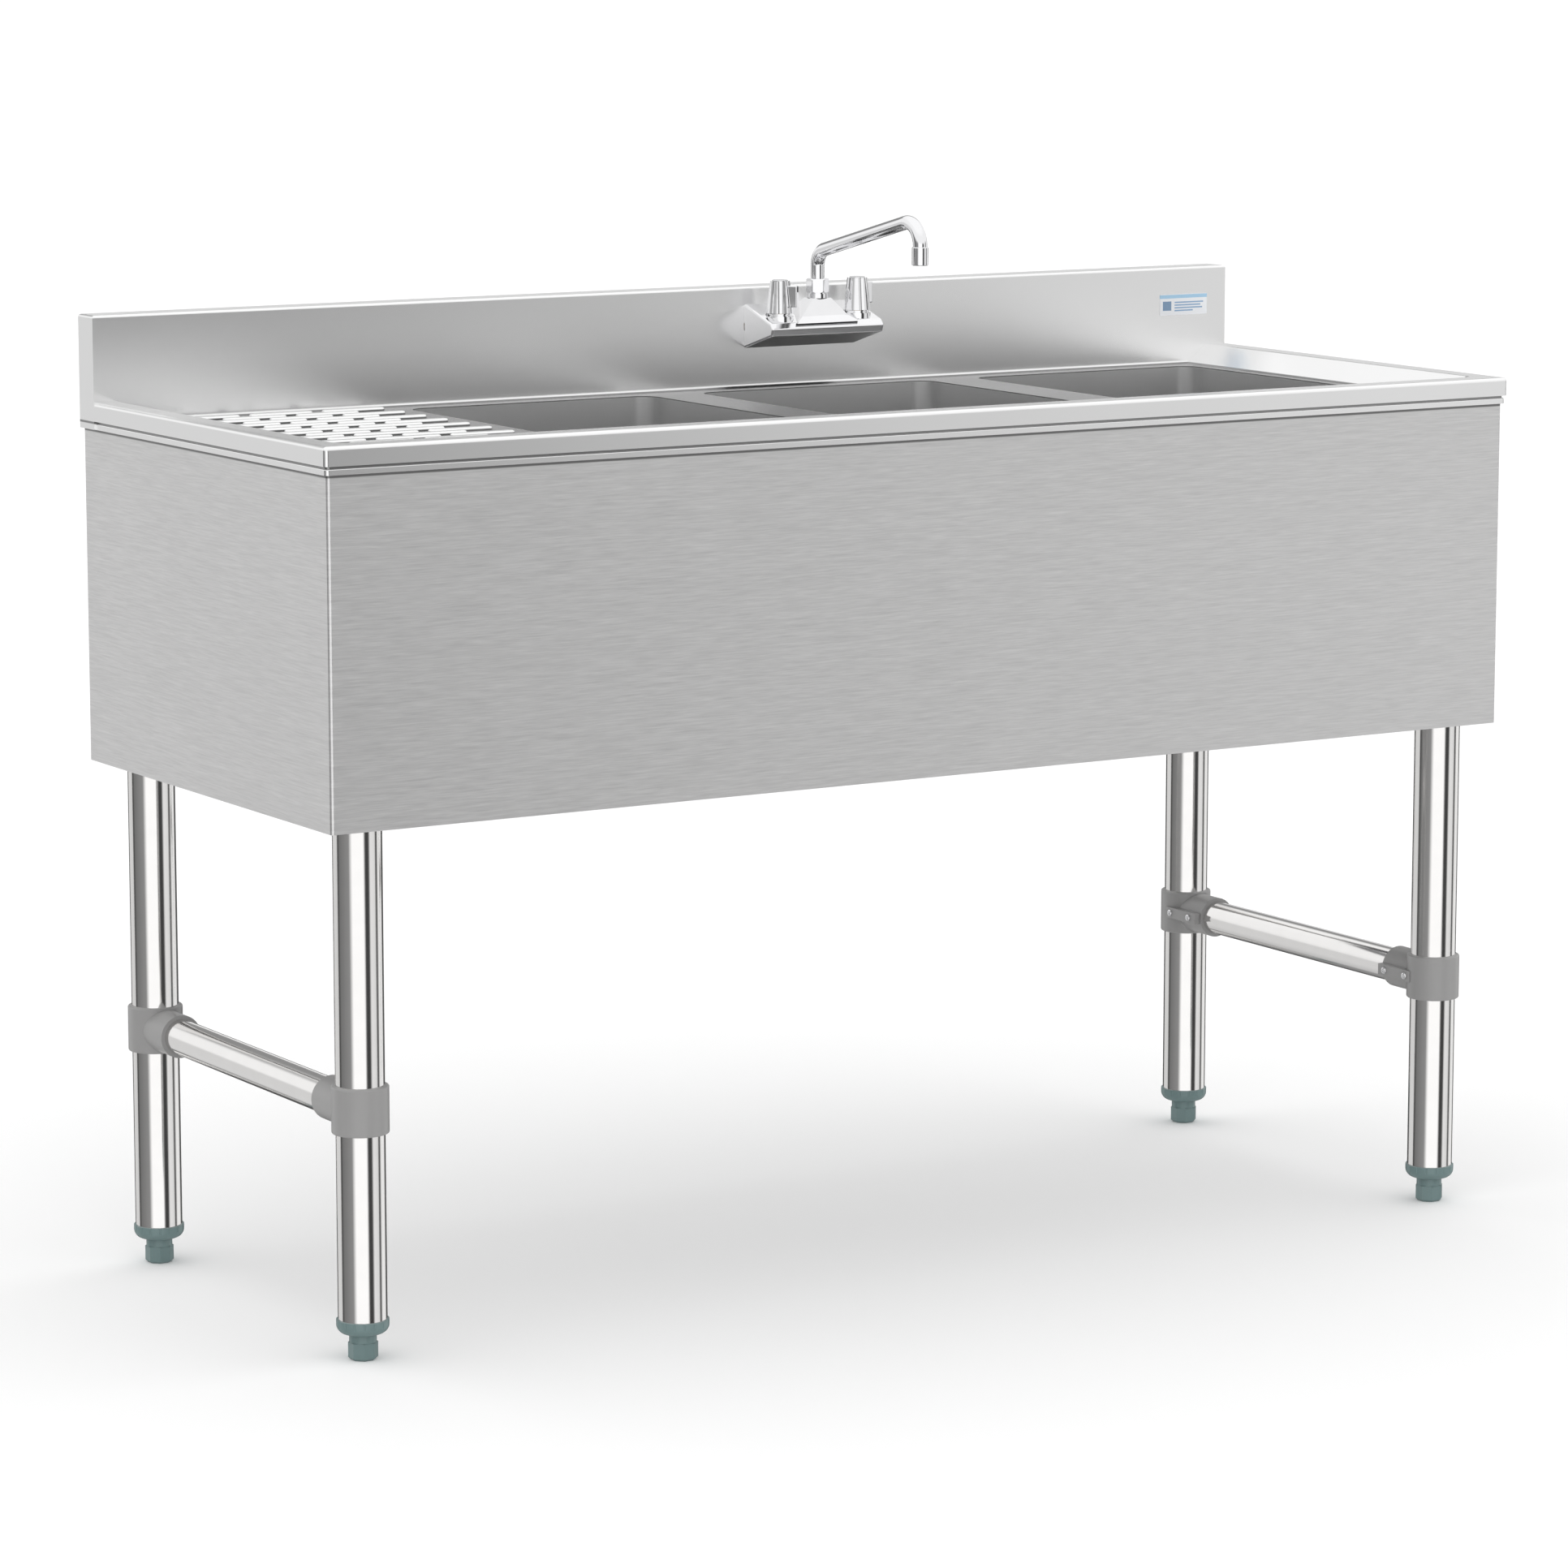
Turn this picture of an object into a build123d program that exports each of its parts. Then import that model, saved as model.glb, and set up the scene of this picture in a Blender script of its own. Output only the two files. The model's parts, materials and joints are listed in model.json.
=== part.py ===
from build123d import *
import math
import os

# Three compartment sink. Millimetres. The origin is on the floor, under the middle of the top;
# +X runs to the right along the front, +Y to the wall and +Z up.

# ---- driving dimensions ---------------------------------------------------------------------
WIDTH = 1219.2             # 48 inch top
DEPTH = 479.0
SHEET = 1.2                # 18 gauge stainless sheet

RIM_TOP = 779.0
RIM_BAND_BOTTOM = 762.4    # lower edge of the raised rim's outer face
RIM_WIDTH = 23.0           # flat top of the rim
RIM_RUN = 23.0             # plan width of the sloped inner face
RIM_EDGE_R = 3.5
RIM_INNER_R = 3.0
COVE_R = 4.0
SPLASH_COVE_R = 3.0
RECESS_CORNER_R = 10.0
DECK_TOP = 761.0
DECK_UNDERSIDE = DECK_TOP - SHEET

GROOVE_INSET = 3.0         # shadow line between the rim band and the lip
LIP_INSET = 1.5
LIP_TOP = 760.2
LIP_BOTTOM = 755.0
LIP_R = 1.0

SPLASH_TOP = 855.5
SPLASH_THICK = 30.0
SPLASH_R = 2.5
BACK_END_RETURN = 15.0
BACK_TOP_RETURN = 22.0

SKIRT_INSET = 4.0
SKIRT_BOTTOM = 457.0
SKIRT_TOP = 762.0
SKIRT_BEND_R = 3.0
SKIRT_CORNER_RETURN = 12.0
SKIRT_HEM = 10.0

BOWL_WIDTH = 254.0         # 10 x 14 x 10 inch bowls
BOWL_LENGTH = 355.6
BOWL_CORNER_R = 18.0
BOWL_FLOOR = 506.5
BOWL_FLOOR_R = 16.0
BOWL_PITCH = 304.8
BOWL_CENTRE_X = 118.0      # middle bowl
BOWL_CENTRE_Y = 7.0
FLOOR_FALL = 5.0           # the floor falls this far to the drain
DRAIN_PAD = 124.0

RIB_LENGTH, RIB_WIDTH, RIB_HEIGHT, RIB_EDGE_R = 62.0, 9.0, 3.0, 2.0
RIB_STEP_X = 72.0
RIB_STEP_Y = 20.4
RIB_ROWS = 19
RIB_CENTRE_X = -438.1
RIB_FIRST_Y = -180.7

LEG_X = 564.5
LEG_Y = 201.0
LEG_R = 21.0
LEG_WALL = 1.5
LEG_TOP = 494.5

CHANNEL_TOP = 500.0
CHANNEL_HEIGHT = 30.0
CHANNEL_WIDTH = 80.0
CHANNEL_WALL = 2.0
SOCKET_WALL = 3.0
SOCKET_BOTTOM = 462.0
SOCKET_PLATE, SOCKET_PLATE_R = 64.0, 6.0

RAIL_Z = 216.0
RAIL_R = 15.875            # 1 1/4 inch tube
TEE_COLLAR_R = 24.5
TEE_HEIGHT = 41.0
TEE_SOCKET_R = 19.3
TEE_REACH = 53.0
TEE_EDGE_R = 1.5
RAIL_END = 27.0            # rail end, from the leg's axis
CLAMP_FACE, CLAMP_ROOT = 25.6, 10.0      # clamp plate's outer face and hidden inner side, from the leg's axis
CLAMP_TOP, CLAMP_BOTTOM = 5.5, -5.0
CLAMP_NEAR, CLAMP_FAR = 3.0, 51.0
CLAMP_SCREWS = (10.0, 41.0)
SCREW_R, SCREW_HEAD_R, SCREW_HEAD, SCREW_LENGTH = 1.7, 3.3, 2.2, 8.0
SCREW_DOME_R = 1.32
RECESS_SPAN, RECESS_WIDTH, RECESS_DEPTH = 3.6, 0.8, 1.4

CUP_R = 22.5
CUP_BOTTOM, CUP_TOP = 22.8, 35.0
CUP_SPIGOT_TOP = 75.0
CUP_POCKET_R, CUP_POCKET_TOP = 12.4, 50.0
CUP_EDGE_R = 8.0
CUP_FLUTES, CUP_FLUTE_R, CUP_FLUTE_OFFSET = 16, 1.2, 0.7
FOOT_FLATS = 23.6          # across the foot's eight flats
FOOT_FLATS_TOP, FOOT_CHAMFER = 15.0, 2.0
FOOT_NECK_R, FOOT_NECK_TOP = 11.7, 38.0
FOOT_STEM_R, FOOT_STEM_TOP = 7.95, 100.0
STEM_CLEARANCE = 0.05

DRAIN_FLANGE_R = 57.0
DRAIN_BODY_R = 43.0
DRAIN_THROAT_R = 40.0
DRAIN_LEDGE_R = 36.0
DRAIN_LEDGE = 498.0
DRAIN_BOTTOM = 464.0
DRAIN_WALL = 2.0
DRAIN_NIPPLE_R, DRAIN_NIPPLE_BOTTOM = 23.5, 450.0
GASKET_R, GASKET_THICK = 54.0, 3.0
LOCKNUT_R, LOCKNUT_RING_R, LOCKNUT_THICK = 55.0, 50.0, 8.0
LOCKNUT_LUGS, LUG_WIDTH, LUG_OVERLAP = 6, 10.0, 2.0
TAIL_R, TAIL_WALL, TAIL_BOTTOM = 19.05, 1.2, 424.0
TAIL_SHOULDER_R = 19.6     # thicker stretch that the coupling nut closes on
COUPLING_TOP, COUPLING_BOTTOM, COUPLING_FLATS = 462.0, 443.0, 54.0
STRAINER_R, STRAINER_THICK = 39.5, 1.6
STRAINER_SLOTS, SLOT_LENGTH, SLOT_WIDTH, SLOT_RADIUS = 12, 20.0, 4.0, 22.0
KNOB_R, KNOB_BOTTOM, KNOB_TOP, KNOB_POST_R = 9.0, 512.0, 518.0, 3.0
KNOB_EDGE_R = 1.5

FAUCET_X = 118.6
FAUCET_WIDTH = 122.5
# Z and reach from the splash
FAUCET_SECTION = ((798.0, 0.0), (839.0, 0.0), (824.0, 47.5), (818.5, 51.9), (812.0, 49.5))
FAUCET_EDGE_R = 2.0
SPOUT_Y = 178.0
NECK_BASE, NECK_TOP, NECK_R = 845.0, 858.0, 9.0
NECK_FLANGE_R, NECK_FLANGE_TOP = 10.4, 849.0
PYRAMID_FOOT = (68.0, 50.0, 823.0)       # width, depth, Z
PYRAMID_BASE = (50.0, 36.0, 829.0)
PYRAMID_TOP = (19.6, 16.0, NECK_BASE)
PYRAMID_Y = 183.0
SPOUT_R, SPOUT_WALL = 6.5, 1.2
SPOUT_FOOT, SPOUT_COLLAR_R, SPOUT_COLLAR_TOP = 853.0, 8.0, 857.5
SPOUT_BEND_Z, SPOUT_BEND_R = 888.0, 16.0
SPOUT_REACH, SPOUT_RISE, SPOUT_TIP_BEND_R = 178.0, 41.0, 20.8
SPOUT_TIP = 896.0
NUT_FLATS, NUT_BOTTOM, NUT_TOP, NUT_WEB = 19.0, 850.0, 863.0, 5.0
NUT_CORNER_R, NUT_EDGE_R = 10.64, 1.5
AERATOR_R, AERATOR_BOTTOM, AERATOR_TOP, AERATOR_EDGE_R = 7.5, 885.6, 902.5, 0.8
RUNNING = 0.05             # radial clearance of the turning fits

HANDLE_SPREAD = 42.5
HANDLE_Y = 176.0
HANDLE_BOTTOM, HANDLE_TOP = 832.4, 862.4
HANDLE_BOTTOM_R, HANDLE_TOP_R = 12.6, 9.4
HANDLE_FLUTES, FLUTE_R, FLUTE_DEPTH = 8, 5.0, 1.1
FLUTE_OVERRUN, FLUTE_LIFT = 12.0, 2.0
WING_LENGTH, WING_THICK, WING_BOTTOM, WING_TOP = 17.5, 6.0, 838.0, 858.0
WING_ROOT, WING_EDGE_R = 4.0, 0.9
WING_ANGLE = {"left": -50.0, "right": 12.0}
BONNET_BOTTOM, BONNET_TOP, BONNET_R, BONNET_RING_R, BONNET_RING = 822.0, 832.0, 9.5, 11.0, 1.0
BOSS_R, BOSS_TOP, BOSS_RELIEF_R = 12.8, 829.5, 13.4
STEM_R, STEM_BOTTOM, STEM_TOP = 4.0, 818.0, 846.0
CAP_R, CAP_TOP, CAP_DEPTH, CAP_EDGE_R = 7.4, 863.4, 2.0, 0.7
SHANK_SPREAD, SHANK_R, SHANK_BORE_R, SHANK_Z, SHANK_END = 50.8, 10.4, 7.0, 818.0, 236.0
SHANK_THREAD_R, SHANK_HOLE_R = 10.8, 11.2
SHANK_NUT_FLATS, SHANK_NUT_THICK = 30.0, 6.0

LABEL_X, LABEL_Z, LABEL_WIDTH, LABEL_HEIGHT, LABEL_THICK = 559.6, 819.0, 56.0, 20.5, 0.3

HALF_W, FRONT, BACK = WIDTH / 2, -DEPTH / 2, DEPTH / 2
SPLASH_FACE = BACK - SPLASH_THICK
RIM_DROP = RIM_TOP - DECK_TOP
CUT = 2.0                  # how far a cutting tool runs past the face it opens
BOWL_XS = {"left": BOWL_CENTRE_X - BOWL_PITCH, "centre": BOWL_CENTRE_X, "right": BOWL_CENTRE_X + BOWL_PITCH}
SIDES = {"left": -1, "right": 1}
LEGS = {"front_left": (-1, -1), "front_right": (1, -1), "rear_left": (-1, 1), "rear_right": (1, 1)}
PARTS = {}


# ---- shared shapes --------------------------------------------------------------------------
def block(x0, x1, y0, y1, z0, z1):
    return Pos((x0 + x1) / 2, (y0 + y1) / 2, (z0 + z1) / 2) * Box(x1 - x0, y1 - y0, z1 - z0)


def rod(x, y, z0, z1, radius):
    return Pos(x, y, (z0 + z1) / 2) * Cylinder(radius, z1 - z0)


def rod_y(x, z, y0, y1, radius):
    return Pos(x, (y0 + y1) / 2, z) * Rot(90, 0, 0) * Cylinder(radius, abs(y1 - y0))


def rod_x(y, z, x0, x1, radius):
    return Pos((x0 + x1) / 2, y, z) * Rot(0, 90, 0) * Cylinder(radius, abs(x1 - x0))


def pipe(x, y, z0, z1, outer, inner):
    return rod(x, y, z0, z1, outer) - rod(x, y, z0 - CUT, z1 + CUT, inner)


def rounded_block(x, y, width, length, z0, z1, radius):
    return Pos(x, y, z0) * extrude(RectangleRounded(width, length, radius), z1 - z0)


def polygon_bar(x, y, z0, z1, flats, sides):
    """An upright bar with an even number of flats; flats is the size across them."""
    corner_radius = flats / 2 / math.cos(math.pi / sides)
    return Pos(x, y, z0) * extrude(RegularPolygon(corner_radius, sides, rotation=180 / sides), z1 - z0)


def frustum(x, y0, y1, z0, z1, size0, size1):
    """A four-sided taper between two level rectangles (width, length) centred on (x, y0) and (x, y1)."""
    return loft([Pos(x, y0, z0) * Rectangle(*size0), Pos(x, y1, z1) * Rectangle(*size1)], ruled=True)


def revolved(x, y, outline):
    """A turned piece about the upright line through (x, y); outline is (radius, z) points."""
    profile = make_face(Polyline([(r, 0, z) for r, z in outline], close=True))
    return Pos(x, y, 0) * revolve(profile, Axis.Z)


def edges_near(part, test):
    return [edge for edge in part.edges() if test(edge.center())]


# ---- top: rim, deck, drainboard and splash folded from one sheet -----------------------------
def perimeter_block(inset, z0, z1, corner_r, top_r=0.0):
    """A block as large as the top, set in at the front and sides; its back edge is the wall plane."""
    body = block(-HALF_W + inset, HALF_W - inset, FRONT + inset, BACK, z0, z1)
    upright = edges_near(body, lambda c: c.Y < 0 and abs(c.Z - (z0 + z1) / 2) < 0.1 and abs(c.X) > 1)
    body = fillet(upright, corner_r)
    if top_r:
        rim = edges_near(body, lambda c: abs(c.Z - z1) < 0.01 and c.Y < BACK - 1)
        body = fillet(rim, top_r)
    return body


def tray_recess(grow):
    """The sunk tray: a level floor with sloped front and side walls; grow enlarges it squarely."""
    slope = RIM_RUN / RIM_DROP
    shift = grow * math.hypot(1, slope)
    rear = SPLASH_FACE + SPLASH_THICK / 2
    levels = []
    for z in (DECK_TOP - grow, RIM_TOP + CUT):
        half = HALF_W - RIM_WIDTH - RIM_RUN + (z - DECK_TOP) * slope + shift
        near = FRONT + RIM_WIDTH + RIM_RUN - (z - DECK_TOP) * slope - shift
        levels.append(Pos(0, (near + rear) / 2, z) * RectangleRounded(2 * half, rear - near, RECESS_CORNER_R))
    return loft(levels, ruled=True)


def rib_rows():
    """The drainboard's pressed ribs: rows of three and of two, laid like bricks."""
    rib = extrude(SlotOverall(RIB_LENGTH, RIB_WIDTH), RIB_HEIGHT)
    rib = fillet(edges_near(rib, lambda c: c.Z > RIB_HEIGHT - 0.1), RIB_EDGE_R)
    places = []
    for row in range(RIB_ROWS):
        count = 3 - row % 2
        for column in range(count):
            x = RIB_CENTRE_X + (column - (count - 1) / 2) * RIB_STEP_X
            places.append(Pos(x, RIB_FIRST_Y + row * RIB_STEP_Y, DECK_TOP))
    return [place * rib for place in places]


def make_top():
    lip = perimeter_block(LIP_INSET, LIP_BOTTOM, LIP_TOP, RIM_EDGE_R, LIP_R)
    groove = perimeter_block(GROOVE_INSET, LIP_TOP, RIM_BAND_BOTTOM, RIM_EDGE_R)
    tray = perimeter_block(0, RIM_BAND_BOTTOM, RIM_TOP, RIM_EDGE_R, RIM_EDGE_R) + groove + lip
    tray -= tray_recess(0)
    inner_rim = edges_near(tray, lambda c: abs(c.Z - RIM_TOP) < 0.01 and c.Y < SPLASH_FACE
                           and abs(c.X) < HALF_W - RIM_WIDTH + 1 and c.Y > FRONT + RIM_WIDTH - 1)
    tray = fillet(inner_rim, RIM_INNER_R)
    tray = fillet(edges_near(tray, lambda c: abs(c.Z - DECK_TOP) < 0.01 and c.Y < SPLASH_FACE), COVE_R)
    splash = block(-HALF_W, HALF_W, SPLASH_FACE, BACK, LIP_BOTTOM, SPLASH_TOP)
    splash = fillet(edges_near(splash, lambda c: abs(c.Z - SPLASH_TOP) < 0.01), SPLASH_R)
    cove = block(-HALF_W, HALF_W, SPLASH_FACE - SPLASH_COVE_R, SPLASH_FACE,
                 DECK_TOP, DECK_TOP + SPLASH_COVE_R)
    cove -= rod_x(SPLASH_FACE - SPLASH_COVE_R, DECK_TOP + SPLASH_COVE_R, -HALF_W, HALF_W, SPLASH_COVE_R)
    outside = tray + splash + (cove & tray_recess(0))

    hem_top = RIM_BAND_BOTTOM + SHEET
    under_rim = perimeter_block(SHEET, hem_top, RIM_TOP - SHEET, RIM_EDGE_R - SHEET, RIM_EDGE_R - SHEET)
    inside_lip = perimeter_block(SKIRT_INSET, LIP_BOTTOM - CUT, hem_top, SKIRT_BEND_R)
    in_splash = block(-HALF_W + SHEET, HALF_W - SHEET, SPLASH_FACE + SHEET, BACK - SHEET,
                      LIP_BOTTOM - CUT, SPLASH_TOP - SHEET)
    open_back = block(-HALF_W + BACK_END_RETURN, HALF_W - BACK_END_RETURN, BACK - SHEET - CUT, BACK + CUT,
                      LIP_BOTTOM - CUT, SPLASH_TOP - BACK_TOP_RETURN)
    top = outside - (under_rim + inside_lip - tray_recess(SHEET)) - in_splash - open_back

    for x in BOWL_XS.values():
        top -= rounded_block(x, BOWL_CENTRE_Y, BOWL_WIDTH, BOWL_LENGTH, DECK_UNDERSIDE - CUT, DECK_TOP + CUT,
                             BOWL_CORNER_R)
    for side in SIDES.values():
        top -= rod_y(FAUCET_X + side * SHANK_SPREAD, SHANK_Z, SPLASH_FACE - CUT, SPLASH_FACE + SHEET + CUT,
                     SHANK_HOLE_R)
    PARTS["deck_top"] = top + rib_rows()


# ---- bowls ----------------------------------------------------------------------------------
def bowl_space(x, grow):
    """The water space of a bowl, grown by the sheet for its outside."""
    floor = BOWL_FLOOR - grow
    space = rounded_block(x, BOWL_CENTRE_Y, BOWL_WIDTH + 2 * grow, BOWL_LENGTH + 2 * grow,
                          floor, DECK_UNDERSIDE, BOWL_CORNER_R + grow)
    space = fillet(edges_near(space, lambda c: abs(c.Z - floor) < 0.01), BOWL_FLOOR_R + grow)
    fall = frustum(x, BOWL_CENTRE_Y, BOWL_CENTRE_Y, floor - FLOOR_FALL, floor, (DRAIN_PAD, DRAIN_PAD),
                   (BOWL_WIDTH - 2 * BOWL_FLOOR_R, BOWL_LENGTH - 2 * BOWL_FLOOR_R))
    return space + fall


def make_bowls():
    for name, x in BOWL_XS.items():
        shell = bowl_space(x, SHEET) - bowl_space(x, 0)
        shell -= rod(x, BOWL_CENTRE_Y, BOWL_FLOOR - 20, BOWL_FLOOR, DRAIN_BODY_R)
        PARTS["bowl_" + name] = shell


# ---- skirt ----------------------------------------------------------------------------------
def make_skirt():
    inner = SKIRT_INSET + SHEET
    edge = SKIRT_INSET + SKIRT_CORNER_RETURN
    outside = perimeter_block(SKIRT_INSET, SKIRT_BOTTOM, SKIRT_TOP, SKIRT_BEND_R)
    inside = perimeter_block(inner, SKIRT_BOTTOM + SHEET, SKIRT_TOP + CUT, SKIRT_BEND_R - SHEET)
    front_zone = block(-HALF_W, HALF_W, FRONT, FRONT + edge, SKIRT_BOTTOM - CUT, SKIRT_TOP + CUT)
    PARTS["skirt_front"] = (outside & front_zone) - inside
    for name, side in SIDES.items():
        near, far = sorted((side * (HALF_W - SKIRT_INSET), side * (HALF_W - SKIRT_INSET - SKIRT_HEM)))
        panel = block(near, far, FRONT + edge, BACK - 1, SKIRT_BOTTOM, SKIRT_TOP)
        PARTS["skirt_" + name] = panel - inside


# ---- frame under the bowls ------------------------------------------------------------------
def make_channels():
    low = CHANNEL_TOP - CHANNEL_HEIGHT
    front, rear = FRONT + SKIRT_INSET + SHEET + SKIRT_BEND_R, BACK - 10
    for name, side in SIDES.items():
        outer = HALF_W - SKIRT_INSET - SHEET
        near, far = sorted((side * outer, side * (outer - CHANNEL_WIDTH)))
        channel = block(near, far, front, rear, low, CHANNEL_TOP)
        channel -= block(near + CHANNEL_WALL, far - CHANNEL_WALL, front - CUT, rear + CUT,
                         low - CUT, CHANNEL_TOP - CHANNEL_WALL)
        PARTS["leg_channel_" + name] = channel
    end = HALF_W - SKIRT_INSET - SHEET - CHANNEL_WIDTH
    angle = block(-end, end, rear - CHANNEL_HEIGHT, rear, low, CHANNEL_TOP)
    angle -= block(-end - CUT, end + CUT, rear - CHANNEL_HEIGHT - CUT, rear - CHANNEL_WALL,
                   low - CUT, CHANNEL_TOP - CHANNEL_WALL)
    PARTS["rear_brace"] = angle


def make_sockets():
    web = CHANNEL_TOP - CHANNEL_WALL
    for name, side in SIDES.items():
        sockets = []
        for end in (-1, 1):
            x, y = side * LEG_X, end * LEG_Y
            plate = rounded_block(x, y, SOCKET_PLATE, SOCKET_PLATE, LEG_TOP, web, SOCKET_PLATE_R)
            sockets.append(plate + pipe(x, y, SOCKET_BOTTOM, LEG_TOP, LEG_R + SOCKET_WALL, LEG_R))
        PARTS["leg_sockets_" + name] = Compound(children=sockets)


# ---- legs, feet and rails -------------------------------------------------------------------
def make_legs():
    for name, (sx, sy) in LEGS.items():
        x, y = sx * LEG_X, sy * LEG_Y
        PARTS["leg_" + name] = pipe(x, y, CUP_TOP, LEG_TOP, LEG_R, LEG_R - LEG_WALL)

        flange = rod(x, y, CUP_BOTTOM, CUP_TOP, CUP_R)
        flange = fillet(edges_near(flange, lambda c: c.Z < CUP_BOTTOM + 0.1), CUP_EDGE_R)
        for turn in range(CUP_FLUTES):
            angle = 2 * math.pi * turn / CUP_FLUTES
            reach = CUP_R + CUP_FLUTE_OFFSET
            flange -= rod(x + reach * math.cos(angle), y + reach * math.sin(angle),
                          CUP_BOTTOM - CUT, CUP_TOP + CUT, CUP_FLUTE_R)
        cup = flange + rod(x, y, CUP_TOP, CUP_SPIGOT_TOP, LEG_R - LEG_WALL)
        cup -= rod(x, y, CUP_BOTTOM - CUT, CUP_POCKET_TOP, CUP_POCKET_R)
        cup -= rod(x, y, CUP_POCKET_TOP - CUT, CUP_SPIGOT_TOP + CUT, FOOT_STEM_R + STEM_CLEARANCE)
        PARTS["foot_cup_" + name] = cup

        pad = polygon_bar(x, y, 0, FOOT_FLATS_TOP, FOOT_FLATS, 8)
        pad = chamfer(edges_near(pad, lambda c: c.Z < 0.1), FOOT_CHAMFER)
        foot = pad + rod(x, y, FOOT_FLATS_TOP, FOOT_NECK_TOP, FOOT_NECK_R)
        PARTS["foot_" + name] = foot + rod(x, y, FOOT_NECK_TOP, FOOT_STEM_TOP, FOOT_STEM_R)


def clamp_span(y, sy, near, far):
    """The Y range that runs from near to far along a tee's socket, which points to the sink's middle."""
    return sorted((y - sy * near, y - sy * far))


def make_tees():
    screws = []
    for name, (sx, sy) in LEGS.items():
        x, y = sx * LEG_X, sy * LEG_Y
        low, high = RAIL_Z - TEE_HEIGHT / 2, RAIL_Z + TEE_HEIGHT / 2
        collar = rod(x, y, low, high, TEE_COLLAR_R)
        collar = fillet(collar.edges(), TEE_EDGE_R)
        y0, y1 = clamp_span(y, sy, 0, TEE_REACH)
        socket = rod_y(x, RAIL_Z, y0, y1, TEE_SOCKET_R)
        solid_tee = collar + socket
        r0, r1 = clamp_span(y, sy, RAIL_END, TEE_REACH + CUT)
        screw_axes = [(y - sy * offset, RAIL_Z + (CLAMP_TOP + CLAMP_BOTTOM) / 2) for offset in CLAMP_SCREWS]

        c0, c1 = clamp_span(y, sy, CLAMP_NEAR, CLAMP_FAR)
        near, far = sorted((x - sx * CLAMP_ROOT, x - sx * CLAMP_FACE))
        plate = block(near, far, c0, c1, RAIL_Z + CLAMP_BOTTOM, RAIL_Z + CLAMP_TOP) - solid_tee
        tee = solid_tee - rod(x, y, low - CUT, high + CUT, LEG_R) - rod_y(x, RAIL_Z, r0, r1, RAIL_R)
        for screw_y, screw_z in screw_axes:
            seat = x - sx * CLAMP_FACE
            shank = rod_x(screw_y, screw_z, seat, seat + sx * SCREW_LENGTH, SCREW_R)
            shank -= rod(x, y, low, high, LEG_R)
            head = rod_x(screw_y, screw_z, seat, seat - sx * SCREW_HEAD, SCREW_HEAD_R)
            head = fillet(edges_near(head, lambda c: abs(c.X - seat) > 1), SCREW_DOME_R)
            tip = seat - sx * SCREW_HEAD
            for across, up in ((RECESS_SPAN / 2, RECESS_WIDTH / 2), (RECESS_WIDTH / 2, RECESS_SPAN / 2)):
                x0, x1 = sorted((tip - sx * CUT, tip + sx * RECESS_DEPTH))
                head -= block(x0, x1, screw_y - across, screw_y + across, screw_z - up, screw_z + up)
            hole = rod_x(screw_y, screw_z, seat - sx * CUT, seat + sx * SCREW_LENGTH, SCREW_R)
            tee -= hole
            plate -= hole
            screws.append(head + shank)
        PARTS["tee_" + name] = tee
        PARTS["clamp_plate_" + name] = plate
    PARTS["clamp_screws"] = Compound(children=screws)

    for name, side in SIDES.items():
        end = LEG_Y - RAIL_END
        PARTS["rail_" + name] = (rod_y(side * LEG_X, RAIL_Z, -end, end, RAIL_R)
                                 - rod_y(side * LEG_X, RAIL_Z, -end - CUT, end + CUT, RAIL_R - LEG_WALL))


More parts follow.
